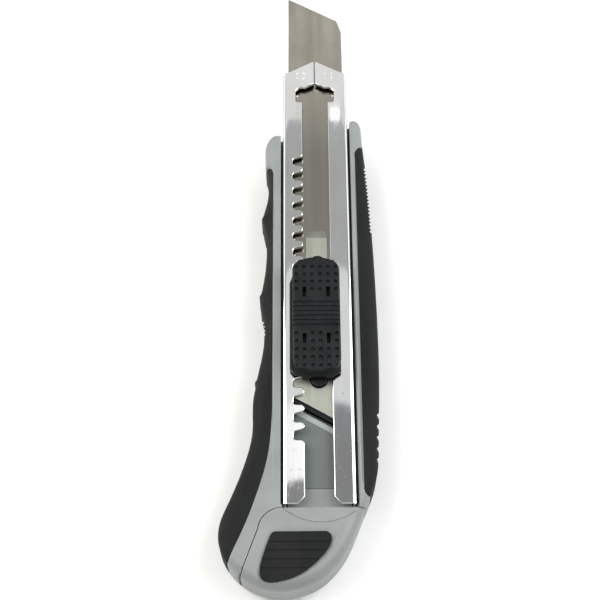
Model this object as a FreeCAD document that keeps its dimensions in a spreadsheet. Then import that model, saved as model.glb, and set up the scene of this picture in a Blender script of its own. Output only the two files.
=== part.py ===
"""Snap-off blade knife in a moulded handle, as a parametric FreeCAD document.

Frame: the knife lies on its back. X runs across it, with the cutting edge on the -X side. +Y runs
towards the blade's tip, and +Z rises out of the face with the thumb slider. The origin is on the
back face, on the channel's centre line, at mid-length of the closed body.
"""

import FreeCAD
import Part
import Sketcher
import math
import os
import re

from FreeCAD import Vector

os.makedirs("parts", exist_ok=True)
doc = FreeCAD.newDocument("snap_off_knife")

# ---------------------------------------------------------------- driving sizes, in mm and degrees

SIZES = [
    # the standard wide snap-off blade
    ("blade_width", 18.0),
    ("blade_length", 100.0),
    ("blade_thick", 0.5),
    ("blade_slant", 30.0),
    ("blade_bevel", 1.5),
    ("segment_pitch", 10.93),
    ("segment_count", 8),
    ("score_width", 0.25),
    ("score_depth", 0.12),
    ("spine_clip_across", 1.5),
    ("spine_clip_along", 4.7),
    ("blade_hole_radius", 1.6),
    ("blade_hole_inset", 6.8),
    ("blade_shift", 0.3),
    ("blade_out", 27.5),
    # the folded steel channel
    ("sheet_thick", 1.0),
    ("blade_side_clear", 0.5),
    ("channel_inside", 3.2),
    ("channel_edge_radius", 0.9),
    ("channel_proud", 0.5),
    ("channel_overhang", 29.6),
    ("slot_half", 4.2),
    ("split_half", 0.12),
    ("key_half", 6.3),
    ("key_rear", 16.5),
    ("key_front", 10.9),
    ("key_peak", 9.2),
    ("shoulder_half", 8.5),
    ("shoulder_drop", 4.6),
    ("corner_drop", 5.4),
    ("rear_corner_cut", 1.65),
    # the notches in the channel's left lip
    ("notch_pitch", 5.465),
    ("notch_count", 18),
    ("notch_height", 2.73),
    ("notch_depth", 3.2),
    ("tooth_behind_tail", 22.3),
    ("rest_notch", 11),
    ("retract_notches", 6),
    # the handle
    ("cap_line", 64.8),
    ("end_gap", 0.75),
    ("handle_thick", 17.0),
    ("handle_edge_radius", 3.5),
    ("rail_gap", 0.75),
    ("rail_left", 2.45),
    ("rail_right", 1.55),
    ("side_swell", 2.5),
    ("right_swell", 5.6),
    ("wave_depth", 1.9),
    ("front_wall", 12.9),
    ("right_rail_lead", 5.6),
    ("butt_length", 23.3),
    ("horn_width", 13.0),
    ("seat_height", 1.2),
    ("deck_thick", 1.3),
    ("store_floor", 2.5),
    ("store_side_clear", 0.6),
    ("store_end_clear", 1.0),
    ("grip_rise", 1.2),
    ("back_grip_thick", 1.0),
    ("back_grip_half", 9.0),
    ("back_grip_margin", 14.0),
    # the carriage
    ("carriage_lift", 1.2),
    ("carrier_thick", 0.8),
    ("carrier_side_clear", 0.7),
    ("holder_thick", 0.8),
    ("holder_front_lap", 10.7),
    ("holder_ramp", 2.9),
    ("holder_tail", 46.8),
    ("carrier_tail_lap", 1.3),
    ("tail_right", 5.5),
    ("tail_narrow", 4.0),
    ("boss_half", 2.4),
    ("boss_shift", 0.2),
    ("boss_front", 26.1),
    ("boss_rear", 17.2),
    ("boss_clear", 0.3),
    ("stud_radius", 1.4),
    ("stud_length", 0.9),
    ("spring_thick", 0.4),
    ("tooth_reach", 2.3),
    ("tooth_length", 2.2),
    ("arm_width", 1.1),
    ("arm_length", 12.0),
    ("arm_rise", 0.8),
    ("pressure_leaf_thick", 0.25),
    ("pressure_leaf_half", 3.0),
    ("pressure_leaf_length", 7.4),
    ("pressure_leaf_bow", 0.8),
    # the thumb slider
    ("slider_half", 7.2),
    ("slider_shift", -0.4),
    ("slider_front", 19.2),
    ("slider_rear", 13.1),
    ("slider_height", 4.4),
    ("slider_crown", 3.2),
    ("slider_corner", 2.2),
    ("slider_edge_radius", 0.8),
    ("press_travel", 0.8),
    ("press_clear", 0.1),
    ("peg_radius", 1.0),
    ("peg_clear", 0.12),
    ("peg_spacing", 26.0),
    ("skirt_step", 0.9),
    ("skirt_height", 1.4),
    # the guide strip, the spare blades and what presses on them
    ("guide_thick", 1.0),
    ("guide_side_clear", 0.3),
    ("guide_gap", 0.2),
    ("guide_bevel", 0.9),
    ("plug_reach", 6.0),
    ("spare_count", 3),
    ("spare_gap", 0.05),
    ("follower_thick", 1.0),
    ("follower_side_clear", 0.4),
    ("store_spring_thick", 0.3),
    ("store_spring_half", 4.0),
    ("store_spring_length", 84.0),
    # the end cap
    ("cap_gap", 0.2),
    ("fit_clear", 0.15),
    ("cap_arm_length", 8.0),
    ("cap_arm_thick", 1.1),
    ("cap_arm_low", 5.0),
    ("cap_arm_height", 5.0),
    ("pad_depth", 1.1),
    ("pad_rise", 0.3),
    ("pad_inset", 7.1),
    ("pad_length", 14.1),
]

sheet = doc.addObject("Spreadsheet::Sheet", "sizes")
for row, (alias, number) in enumerate(SIZES, start=1):
    sheet.set(f"A{row}", alias)
    sheet.set(f"B{row}", str(number))
    sheet.setAlias(f"B{row}", alias)
doc.recompute()
ALIASES = {alias for alias, number in SIZES}


def bound(expression):
    """The expression with each alias tied to the sheet, ready for setExpression."""
    def tie(word):
        return "sizes." + word.group(0) if word.group(0) in ALIASES else word.group(0)
    return re.sub(r"[a-z_]+", tie, str(expression))


def value(expression):
    """What an expression on the sheet's sizes comes to."""
    return float(sheet.evalExpression(bound(expression)))


# ------------------------------------------------- places that several pieces share, as expressions

slant = "tan(blade_slant)"
half_inside = "(blade_width / 2 + blade_side_clear)"
half_channel = f"({half_inside} + sheet_thick)"
face = "(handle_thick + channel_proud)"
channel_bottom = f"({face} - 2 * sheet_thick - channel_inside)"
floor_top = f"({channel_bottom} + sheet_thick)"
lip_bottom = f"({face} - sheet_thick)"
channel_rear = "(end_gap - cap_line)"
blade_reach = f"(blade_length + blade_width * {slant})"
store_front = f"({blade_reach} + store_end_clear - cap_line)"
handle_front = f"({store_front} + front_wall)"
nose = f"({handle_front} + channel_overhang)"
retract = "(retract_notches * notch_pitch)"
carrier_low = f"({floor_top} + carriage_lift)"
carrier_top = f"({carrier_low} + carrier_thick)"
holder_top = f"({carrier_top} + holder_thick)"
guide_top = f"({floor_top} + guide_thick)"
blade_tip = f"({nose} + blade_out)"
blade_tail = f"({blade_tip} - blade_width / 2 * {slant} - blade_length)"
tooth_middle = f"({blade_tail} - tooth_behind_tail)"
first_notch = f"({tooth_middle} + rest_notch * notch_pitch + notch_height / 2)"
stud_place = f"({blade_tail} + blade_hole_inset)"
holder_front = f"({blade_tail} + holder_front_lap)"
holder_rear = f"({blade_tail} - holder_tail)"
carrier_rear = f"({holder_rear} - carrier_tail_lap)"
carriage_half = f"({half_inside} - carrier_side_clear)"
boss_low_y = f"({tooth_middle} - boss_rear)"
boss_high_y = f"({tooth_middle} + boss_front)"
slider_low = f"({face} + press_travel + press_clear)"
deck_low = f"({channel_bottom} - deck_thick)"
store_half = "(blade_width / 2 + store_side_clear)"
stack_step = "(blade_thick + spare_gap)"
follower_top = f"({deck_low} - spare_gap - spare_count * {stack_step})"
rail_left_edge = f"({half_channel} + rail_gap + rail_left)"
rail_right_edge = f"({half_channel} + rail_gap + rail_right)"
plug_front = "(plug_reach - cap_line)"


# -------------------------------------------------------------------- small modelling conveniences

def new_body(name):
    """A PartDesign body with the piece's name as its Label."""
    body = doc.addObject("PartDesign::Body", name)
    body.Label = name
    return body


def new_sketch(body, name, role="XY_Plane", offset="0"):
    """A sketch on one of the body's own origin planes, moved along its normal."""
    plane = next(f for f in body.Origin.OriginFeatures if f.Role == role)
    sketch = body.newObject("Sketcher::SketchObject", name)
    sketch.AttachmentSupport = [(plane, "")]
    sketch.MapMode = "FlatFace"
    sketch.setExpression("AttachmentOffset.Base.z", bound(offset))
    return sketch


def fix_point(sketch, geometry, end, across, along):
    """Holds one end of a line or arc, or a circle's centre, at a place given by two expressions."""
    for kind, expression in (("DistanceX", across), ("DistanceY", along)):
        number = value(expression)
        index = sketch.addConstraint(Sketcher.Constraint(kind, -1, 1, geometry, end, number))
        sketch.setExpression(f"Constraints[{index}]", bound(expression))


def polygon(sketch, corners):
    """A closed outline of straight lines through corners given as pairs of expressions."""
    first = sketch.GeometryCount
    points = [Vector(value(x), value(y), 0) for x, y in corners]
    for i, point in enumerate(points):
        sketch.addGeometry(Part.LineSegment(point, points[(i + 1) % len(points)]))
    for i in range(len(points)):
        following = first + (i + 1) % len(points)
        sketch.addConstraint(Sketcher.Constraint("Coincident", first + i, 2, following, 1))
    for i, (x, y) in enumerate(corners):
        fix_point(sketch, first + i, 1, x, y)


def circle(sketch, x, y, radius):
    """A circle whose centre and radius are expressions."""
    centre = Vector(value(x), value(y), 0)
    index = sketch.addGeometry(Part.Circle(centre, Vector(0, 0, 1), value(radius)))
    fix_point(sketch, index, 3, x, y)
    size = sketch.addConstraint(Sketcher.Constraint("Radius", index, value(radius)))
    sketch.setExpression(f"Constraints[{size}]", bound(radius))


def pad(body, name, sketch, length, both_ways=False):
    """Extrudes a sketch along its normal, by an expression."""
    feature = body.newObject("PartDesign::Pad", name)
    feature.Profile = sketch
    feature.Midplane = both_ways
    feature.setExpression("Length", bound(length))
    doc.recompute()
    return feature


def pocket(body, name, sketch, depth, both_ways=False):
    """Cuts a sketch into the solid, against its normal, and makes sure that something went."""
    before = body.Shape.Volume
    feature = body.newObject("PartDesign::Pocket", name)
    feature.Profile = sketch
    feature.Midplane = both_ways
    feature.setExpression("Length", bound(depth))
    doc.recompute()
    if not body.Shape.Volume < before:
        raise RuntimeError(f"{name} cuts nothing")
    return feature


def repeat_along(body, name, feature, sketch, length, count):
    """Repeats a feature down the sketch's vertical axis, over an expression's length."""
    pattern = body.newObject("PartDesign::LinearPattern", name)
    pattern.Originals = [feature]
    pattern.Direction = (sketch, ["V_Axis"])
    pattern.Reversed = True
    pattern.setExpression("Length", bound(length))
    pattern.setExpression("Occurrences", bound(count))
    body.Tip = pattern
    doc.recompute()
    return pattern


def edges_where(shape, test):
    """Names of the shape's edges whose middle point passes the test."""
    names = []
    for number, edge in enumerate(shape.Edges, start=1):
        middle = edge.valueAt((edge.FirstParameter + edge.LastParameter) / 2)
        if test(edge, middle):
            names.append(f"Edge{number}")
    return names


def round_edges(body, name, test, radius):
    """A PartDesign fillet on the edges that pass the test."""
    base = body.Tip
    feature = body.newObject("PartDesign::Fillet", name)
    feature.Base = (base, edges_where(base.Shape, test))
    feature.setExpression("Radius", bound(radius))
    doc.recompute()
    return feature


def runs_along(edge, axis):
    """Whether an edge is a straight line along one of the axes 0, 1, 2."""
    if edge.Curve.TypeId != "Part::GeomLine":
        return False
    return abs(abs(edge.tangentAt(edge.FirstParameter)[axis]) - 1) < 1e-6


def near(number, expression):
    """Whether a coordinate lies where the expression says."""
    return abs(number - value(expression)) < 1e-3


def made_shape(name, shape):
    """A free-form piece whose shape is worked out from the sheet in code."""
    feature = doc.addObject("Part::Feature", name)
    feature.Label = name
    feature.Shape = shape.removeSplitter()
    return feature


def prism(points, low, high):
    """A closed prism over a plan outline of points or ready-made edges, between two heights."""
    if isinstance(points[0], tuple):
        wire = Part.makePolygon([Vector(x, y, low) for x, y in points + points[:1]])
    else:
        wire = Part.Wire(Part.__sortEdges__(points))
        wire.translate(Vector(0, 0, low - wire.BoundBox.ZMin))
    return Part.Face(wire).extrude(Vector(0, 0, high - low))


def block(low, high):
    """A box between two corners."""
    size = Vector(*high) - Vector(*low)
    return Part.makeBox(size.x, size.y, size.z, Vector(*low))


def spline(points):
    """A smooth edge through plan points."""
    curve = Part.BSplineCurve()
    curve.interpolate([Vector(x, y, 0) for x, y in points])
    return curve.toShape()


def chain(points):
    """Straight edges from point to point."""
    return [
        Part.LineSegment(Vector(*points[i], 0), Vector(*points[i + 1], 0)).toShape()
        for i in range(len(points) - 1)
    ]


# ------------------------------------------------------------------------------ snap-off blades
# Hardened strip, ground to an edge along -X and scored on the slant so that a blunt segment
# snaps off. The slanted front leaves the acute tip on the cutting side.

def snap_off_blade(name, tip, top, shift):
    """One blade, its tip at the expression tip along Y and its upper face at the expression top."""
    body = new_body(name)
    left = f"({shift} - blade_width / 2)"
    right = f"({shift} + blade_width / 2)"
    fall = f"(blade_width * {slant})"
    outline = new_sketch(body, f"{name}_outline", offset=f"{top} - blade_thick")
    polygon(outline, [
        (left, f"{tip} - blade_length"),
        (right, f"{tip} - blade_length - {fall}"),
        (right, f"{tip} - {fall} - spine_clip_along + spine_clip_across * {slant}"),
        (f"{right} - spine_clip_across", f"{tip} - {fall} + spine_clip_across * {slant}"),
        (left, tip),
    ])
    pad(body, f"{name}_strip", outline, "blade_thick")
    hole = new_sketch(body, f"{name}_hole_outline", offset=top)
    circle(hole, shift, f"{tip} - blade_length - {fall} / 2 + blade_hole_inset", "blade_hole_radius")
    pocket(body, f"{name}_hole", hole, "2 * blade_thick")
    ground = new_sketch(body, f"{name}_bevel_outline", "XZ_Plane", f"-({tip} - blade_length / 2)")
    for face, away in ((top, 1), (f"({top} - blade_thick)", -1)):
        polygon(ground, [
            (f"{left} - 1", face),
            (f"{left} + blade_bevel", face),
            (left, f"{face} - {away} * blade_thick * 0.42"),
            (f"{left} - 1", f"{face} - {away} * blade_thick * 0.42"),
        ])
    pocket(body, f"{name}_bevel", ground, f"2 * {blade_reach}", both_ways=True)
    score = new_sketch(body, f"{name}_score_outline", offset=top)
    start = f"({tip} - segment_pitch)"
    polygon(score, [
        (left, f"{start} - score_width"),
        (right, f"{start} - {fall} - score_width"),
        (right, f"{start} - {fall}"),
        (left, start),
    ])
    first = pocket(body, f"{name}_score", score, "score_depth")
    repeat_along(body, f"{name}_scores", first, score, "segment_pitch * (segment_count - 1)",
                 "segment_count")
    return body


snap_off_blade("main_blade", blade_tip, carrier_top, "blade_shift")
for spare in range(int(value("spare_count"))):
    spare_top = f"({deck_low} - spare_gap - {spare} * {stack_step})"
    snap_off_blade(f"spare_blade_{spare + 1}", f"({store_front} - store_end_clear / 2)", spare_top, "0")


# ------------------------------------------------------------------------------- blade channel
# Steel strip folded to a C, chromed. Its two lips leave the slider's slot between them, meet at
# the nose, and the left lip carries the notches that lock the blade.

channel = new_body("blade_channel")
section = new_sketch(channel, "channel_section", "XZ_Plane", f"-{nose}")
polygon(section, [
    (f"-{half_channel}", channel_bottom),
    (half_channel, channel_bottom),
    (half_channel, face),
    ("split_half", face),
    ("split_half", lip_bottom),
    (half_inside, lip_bottom),
    (half_inside, floor_top),
    (f"-{half_inside}", floor_top),
    (f"-{half_inside}", lip_bottom),
    ("-split_half", lip_bottom),
    ("-split_half", face),
    (f"-{half_channel}", face),
])
pad(channel, "channel_fold", section, f"{nose} - {channel_rear}")


def outer_fold(edge, middle):
    """The channel's four outer long edges."""
    if not runs_along(edge, 1):
        return False
    return abs(abs(middle.x) - value(half_channel)) < 1e-3


round_edges(channel, "channel_folds", outer_fold, "channel_edge_radius")

slot = new_sketch(channel, "slot_outline", offset=face)
polygon(slot, [
    ("-slot_half - rear_corner_cut - 0.5", f"{channel_rear} - 0.5"),
    ("slot_half + rear_corner_cut + 0.5", f"{channel_rear} - 0.5"),
    ("slot_half", f"{channel_rear} + rear_corner_cut"),
    ("slot_half", f"{nose} - key_rear"),
    ("key_half", f"{nose} - key_rear"),
    ("key_half", f"{nose} - key_front"),
    ("0", f"{nose} - key_peak"),
    ("-key_half", f"{nose} - key_front"),
    ("-key_half", f"{nose} - key_rear"),
    ("-slot_half", f"{nose} - key_rear"),
    ("-slot_half", f"{channel_rear} + rear_corner_cut"),
])
pocket(channel, "slider_slot", slot, "sheet_thick + channel_inside / 2")

notch = new_sketch(channel, "notch_outline", offset=face)
notch_radius = "(notch_height / 2)"
notch_end = f"(slot_half + notch_depth - {notch_radius})"
polygon(notch, [
    (f"-{notch_end}", f"{first_notch} - notch_height"),
    ("-slot_half + 0.5", f"{first_notch} - notch_height"),
    ("-slot_half + 0.5", first_notch),
    (f"-{notch_end}", first_notch),
])
notch_floor = pocket(channel, "notch", notch, "sheet_thick + channel_inside / 2")
notch_row = "notch_pitch * (notch_count - 1)"
repeat_along(channel, "notches", notch_floor, notch, notch_row, "notch_count")
notch_round = new_sketch(channel, "notch_round_outline", offset=face)
circle(notch_round, f"-{notch_end}", f"{first_notch} - {notch_radius}", notch_radius)
notch_end_cut = pocket(channel, "notch_round", notch_round, "sheet_thick + channel_inside / 2")
repeat_along(channel, "notch_rounds", notch_end_cut, notch_round, notch_row, "notch_count")

chevron = new_sketch(channel, "nose_outline", offset=face)
polygon(chevron, [
    (f"-{half_channel} - 1", f"{nose} + 1"),
    (f"-{half_channel} - 1", f"{nose} - corner_drop"),
    ("-shoulder_half", f"{nose} - shoulder_drop"),
    ("0", nose),
    ("shoulder_half", f"{nose} - shoulder_drop"),
    (f"{half_channel} + 1", f"{nose} - corner_drop"),
    (f"{half_channel} + 1", f"{nose} + 1"),
])
pocket(channel, "nose_chevron", chevron, f"2 * {face}", both_ways=True)


# ------------------------------------------------------------------------------------ carriage
# The slide that carries the blade: a black moulded carrier whose round-ended boss stands up in
# the slot, and over it a steel plate that holds the blade's tail down on a stud.

def carriage_outline(front_left, front_right, rear):
    """Plan corners of a carriage plate whose tail is cut on the blade's slant."""
    half = carriage_half
    narrow = f"({rear} + tail_narrow)"
    return [
        (f"-{half}", f"{rear} + {half} * {slant}"),
        ("tail_right", f"{rear} - tail_right * {slant}"),
        ("tail_right", narrow),
        (half, f"{narrow} + {half} - tail_right"),
        (half, front_right),
        (f"-{half}", front_left),
    ]


def round_ended_bar(sketch, half, low_y, high_y):
    """A bar along Y with half-round ends, its middle line at boss_shift."""
    centre = value("boss_shift")
    radius = value(half)
    low = value(f"{low_y} + {half}")
    high = value(f"{high_y} - {half}")
    sketch.addGeometry(Part.LineSegment(Vector(centre + radius, low, 0), Vector(centre + radius, high, 0)))
    sketch.addGeometry(Part.ArcOfCircle(
        Part.Circle(Vector(centre, high, 0), Vector(0, 0, 1), radius), 0, math.pi))
    sketch.addGeometry(Part.LineSegment(Vector(centre - radius, high, 0), Vector(centre - radius, low, 0)))
    sketch.addGeometry(Part.ArcOfCircle(
        Part.Circle(Vector(centre, low, 0), Vector(0, 0, 1), radius), math.pi, 2 * math.pi))
    for line, line_end, arc, arc_end in ((0, 2, 1, 1), (1, 2, 2, 1), (2, 2, 3, 1), (3, 2, 0, 1)):
        sketch.addConstraint(Sketcher.Constraint("Tangent", line, line_end, arc, arc_end))
    fix_point(sketch, 1, 3, "boss_shift", f"{high_y} - {half}")
    fix_point(sketch, 3, 3, "boss_shift", f"{low_y} + {half}")
    size = sketch.addConstraint(Sketcher.Constraint("Radius", 1, radius))
    sketch.setExpression(f"Constraints[{size}]", bound(half))


carrier = new_body("carrier")
behind_blade = f"({blade_tail} - 0.4 + blade_shift * {slant})"
plate = new_sketch(carrier, "carrier_outline", offset=carrier_low)
polygon(plate, carriage_outline(
    f"{behind_blade} + {carriage_half} * {slant}",
    f"{behind_blade} - {carriage_half} * {slant}",
    carrier_rear))
pad(carrier, "carrier_plate", plate, "carrier_thick")
boss = new_sketch(carrier, "boss_outline", offset=carrier_top)
round_ended_bar(boss, "boss_half", boss_low_y, boss_high_y)
pad(carrier, "carrier_boss", boss, f"{face} - {carrier_top}")
sockets = new_sketch(carrier, "peg_socket_outline", offset=face)
slider_middle = f"({tooth_middle} + (slider_front - slider_rear) / 2)"
for side in ("-", ""):
    circle(sockets, "boss_shift", f"{slider_middle} + {side}peg_spacing / 2", "peg_radius + peg_clear")
pocket(carrier, "peg_sockets", sockets, f"{face} - {carrier_low} - 0.3")

holder = new_body("blade_holder")
plate = new_sketch(holder, "holder_outline", offset=carrier_top)
polygon(plate, carriage_outline(holder_front, holder_front, holder_rear))
pad(holder, "holder_plate", plate, "holder_thick")
ramp = new_sketch(holder, "ramp_section", "YZ_Plane")
polygon(ramp, [
    (holder_front, carrier_top),
    (f"{holder_front} + holder_ramp", carrier_top),
    (f"{holder_front} + holder_ramp", f"{carrier_top} + 0.15"),
    (holder_front, holder_top),
])
pad(holder, "holder_ramp_lip", ramp, f"2 * {carriage_half} - 3", both_ways=True)
opening = new_sketch(holder, "boss_opening_outline", offset=holder_top)
round_ended_bar(opening, "(boss_half + boss_clear)", f"({boss_low_y} - boss_clear)",
                f"({boss_high_y} + boss_clear)")
pocket(holder, "boss_opening", opening, "holder_thick")

stud = new_body("blade_stud")
shank = new_sketch(stud, "stud_outline", offset=f"{carrier_top} - stud_length")
circle(shank, "blade_shift", stud_place, "stud_radius")
pad(stud, "stud_shank", shank, "stud_length")


def stud_end(edge, middle):
    """The stud's free lower rim."""
    return edge.Curve.TypeId == "Part::GeomCircle" and near(middle.z, f"{carrier_top} - stud_length")


round_edges(stud, "stud_lead_in", stud_end, "0.2")


# ---------------------------------------------------------------------------------- lock spring
# A flat arm of spring steel beside the boss. Its tooth stands in a notch of the left lip, and
# pressing the slider bends the arm until the tooth is under the lip.

spring = new_body("lock_spring")
spring_low = f"({holder_top} + arm_rise)"
arm_right = "(boss_shift - boss_half - 0.2)"
arm_left = f"({arm_right} - arm_width)"
leaf = new_sketch(spring, "lock_leaf_outline", offset=spring_low)
polygon(leaf, [
    (arm_left, f"{tooth_middle} - arm_length"),
    (arm_right, f"{tooth_middle} - arm_length"),
    (arm_right, f"{tooth_middle} + tooth_length / 2"),
    (f"-slot_half - tooth_reach", f"{tooth_middle} + tooth_length / 2"),
    (f"-slot_half - tooth_reach", f"{tooth_middle} - tooth_length / 2"),
    (arm_left, f"{tooth_middle} - tooth_length / 2"),
])
pad(spring, "lock_leaf", leaf, "spring_thick")
foot = new_sketch(spring, "lock_foot_outline", offset=holder_top)
polygon(foot, [
    (arm_left, f"{tooth_middle} - arm_length"),
    (arm_right, f"{tooth_middle} - arm_length"),
    (arm_right, f"{tooth_middle} - arm_length + 2"),
    (arm_left, f"{tooth_middle} - arm_length + 2"),
])
pad(spring, "lock_foot", foot, "arm_rise + spring_thick")


# --------------------------------------------------------------------------------- thumb slider
# Black moulded button. Two pegs guide it in the carrier's boss, and a step along its left side
# covers the tooth.

slider = new_body("slider_button")
slider_left = "(slider_shift - slider_half)"
slider_right = "(slider_shift + slider_half)"
slider_low_y = f"({tooth_middle} - slider_rear)"
slider_high_y = f"({tooth_middle} + slider_front)"
outline = new_sketch(slider, "slider_outline", offset=slider_low)
for number, (start, bulge, end) in enumerate((
        ((slider_left, slider_low_y), -1, (slider_right, slider_low_y)),
        ((slider_right, slider_high_y), 1, (slider_left, slider_high_y)))):
    middle = (value("slider_shift"), value(f"{start[1]} + {bulge} * slider_crown"))
    ends = [Vector(value(x), value(y), 0) for x, y in (start, end)]
    outline.addGeometry(Part.Arc(ends[0], Vector(*middle, 0), ends[1]))
outline.addGeometry(Part.LineSegment(
    Vector(value(slider_right), value(slider_low_y), 0), Vector(value(slider_right), value(slider_high_y), 0)))
outline.addGeometry(Part.LineSegment(
    Vector(value(slider_left), value(slider_high_y), 0), Vector(value(slider_left), value(slider_low_y), 0)))
for piece, piece_end, other, other_end in ((0, 2, 2, 1), (2, 2, 1, 1), (1, 2, 3, 1), (3, 2, 0, 1)):
    outline.addConstraint(Sketcher.Constraint("Coincident", piece, piece_end, other, other_end))
fix_point(outline, 2, 1, slider_right, slider_low_y)
fix_point(outline, 2, 2, slider_right, slider_high_y)
fix_point(outline, 3, 1, slider_left, slider_high_y)
fix_point(outline, 3, 2, slider_left, slider_low_y)
crown_radius = "((slider_half * slider_half + slider_crown * slider_crown) / (2 * slider_crown))"
for arc in (0, 1):
    size = outline.addConstraint(Sketcher.Constraint("Radius", arc, value(crown_radius)))
    outline.setExpression(f"Constraints[{size}]", bound(crown_radius))
pad(slider, "slider_block", outline, "slider_height")


def slider_corner_edge(edge, middle):
    """The block's four upright corners."""
    return runs_along(edge, 2)


round_edges(slider, "slider_corners", slider_corner_edge, "slider_corner")


def slider_rim_edge(edge, middle):
    """The rim of the slider's thumb face."""
    return near(middle.z, f"{slider_low} + slider_height")


round_edges(slider, "slider_rim", slider_rim_edge, "slider_edge_radius")
skirt = new_sketch(slider, "skirt_outline", offset=slider_low)
polygon(skirt, [
    (f"{slider_left} - skirt_step", f"{slider_low_y} + 2"),
    (f"{slider_left} + 1", f"{slider_low_y} + 2"),
    (f"{slider_left} + 1", f"{slider_high_y} - 2"),
    (f"{slider_left} - skirt_step", f"{slider_high_y} - 2"),
])
pad(slider, "slider_skirt", skirt, "skirt_height")
pegs = new_sketch(slider, "peg_outline", offset=slider_low)
for side in ("-", ""):
    circle(pegs, "boss_shift", f"{slider_middle} + {side}peg_spacing / 2", "peg_radius")
peg_pad = slider.newObject("PartDesign::Pad", "slider_pegs")
peg_pad.Profile = pegs
peg_pad.Reversed = True
peg_pad.setExpression("Length", bound(f"{slider_low} - {carrier_low} - 0.4 - press_travel"))
doc.recompute()


# ------------------------------------------------------------------------------- rear guide
# Grey moulded strip in the rear of the channel, with a bevelled front cut on the slant. The
# carriage's tail passes over it when the blade is drawn in.

guide = new_body("rear_guide")
guide_half = f"({half_inside} - guide_side_clear)"
guide_front = f"({carrier_rear} - guide_gap)"
strip = new_sketch(guide, "guide_outline", offset=floor_top)
polygon(strip, [
    (f"-{guide_half}", f"{plug_front} + fit_clear"),
    (guide_half, f"{plug_front} + fit_clear"),
    (guide_half, f"{guide_front} - {guide_half} * {slant}"),
    (f"-{guide_half}", f"{guide_front} + {guide_half} * {slant}"),
])
pad(guide, "guide_strip", strip, "guide_thick")


def guide_front_edge(edge, middle):
    """The strip's slanted upper front edge."""
    return near(middle.z, guide_top) and near(middle.x, "0") and middle.y > value(guide_front) - 1


square_strip = guide.Tip
bevel = guide.newObject("PartDesign::Chamfer", "guide_bevel")
bevel.Base = (square_strip, edges_where(square_strip.Shape, guide_front_edge))
bevel.setExpression("Size", bound("guide_bevel"))
doc.recompute()


# ------------------------------------------------------------- leaf springs and blade follower
# Bowed spring strips. One keeps the carriage up against the lips, the other lifts the follower
# that the spare blades lie on.

def bowed_leaf(name, middle_y, end_z, rise, length, half_width, thick):
    """A strip bowed along Y: its ends at end_z and its middle higher by rise, or lower if less."""
    half = length / 2
    away = math.copysign(thick, rise)
    edges = []
    for offset in (0, away):
        edges.append(Part.Arc(
            Vector(-half_width, middle_y - half, end_z + offset),
            Vector(-half_width, middle_y, end_z + offset + rise),
            Vector(-half_width, middle_y + half, end_z + offset)).toShape())
    for side in (-half, half):
        edges.append(Part.LineSegment(
            Vector(-half_width, middle_y + side, end_z),
            Vector(-half_width, middle_y + side, end_z + away)).toShape())
    face = Part.Face(Part.Wire(Part.__sortEdges__(edges)))
    return made_shape(name, face.extrude(Vector(2 * half_width, 0, 0)))


carrier_front_right = value(f"{behind_blade} - {carriage_half} * {slant}")
bowed_leaf(
    "pressure_spring",
    carrier_front_right - 0.5 - value("pressure_leaf_length") / 2,
    value(carrier_low),
    -value("pressure_leaf_bow"),
    value("pressure_leaf_length"),
    value("pressure_leaf_half"),
    value("pressure_leaf_thick"))

follower = doc.addObject("Part::Box", "follower")
follower.Label = "follower"
follower_half = f"({store_half} - follower_side_clear)"
for prop, expression in (
        ("Length", f"2 * {follower_half}"),
        ("Width", f"{store_front} + cap_line - store_end_clear"),
        ("Height", "follower_thick"),
        ("Placement.Base.x", f"-{follower_half}"),
        ("Placement.Base.y", "store_end_clear / 2 - cap_line"),
        ("Placement.Base.z", f"{follower_top} - follower_thick")):
    follower.setExpression(prop, bound(expression))
doc.recompute()

leaf_room = value(f"{follower_top} - follower_thick - store_floor") - value("store_spring_thick") - 0.05
bowed_leaf(
    "store_spring",
    value(f"({store_front} - cap_line) / 2"),
    value("store_floor"),
    leaf_room,
    value("store_spring_length"),
    value("store_spring_half"),
    value("store_spring_thick"))


# ------------------------------------------------------------------------------ handle outline
# Plan of the whole handle at its widest: finger waves on the left, a long palm swell on the
# right, and a butt that sweeps down to a horn at the left.

left_edge = value(f"{rail_left_edge} + side_swell")
right_edge = value(f"{rail_right_edge} + side_swell")
front_y = value(handle_front)
cap_y = -value("cap_line")
butt_y = cap_y - value("butt_length")
wave = value("wave_depth")
palm = value("right_swell - side_swell")
horn = value("horn_width")
horn_depth = value("butt_length")

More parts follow.
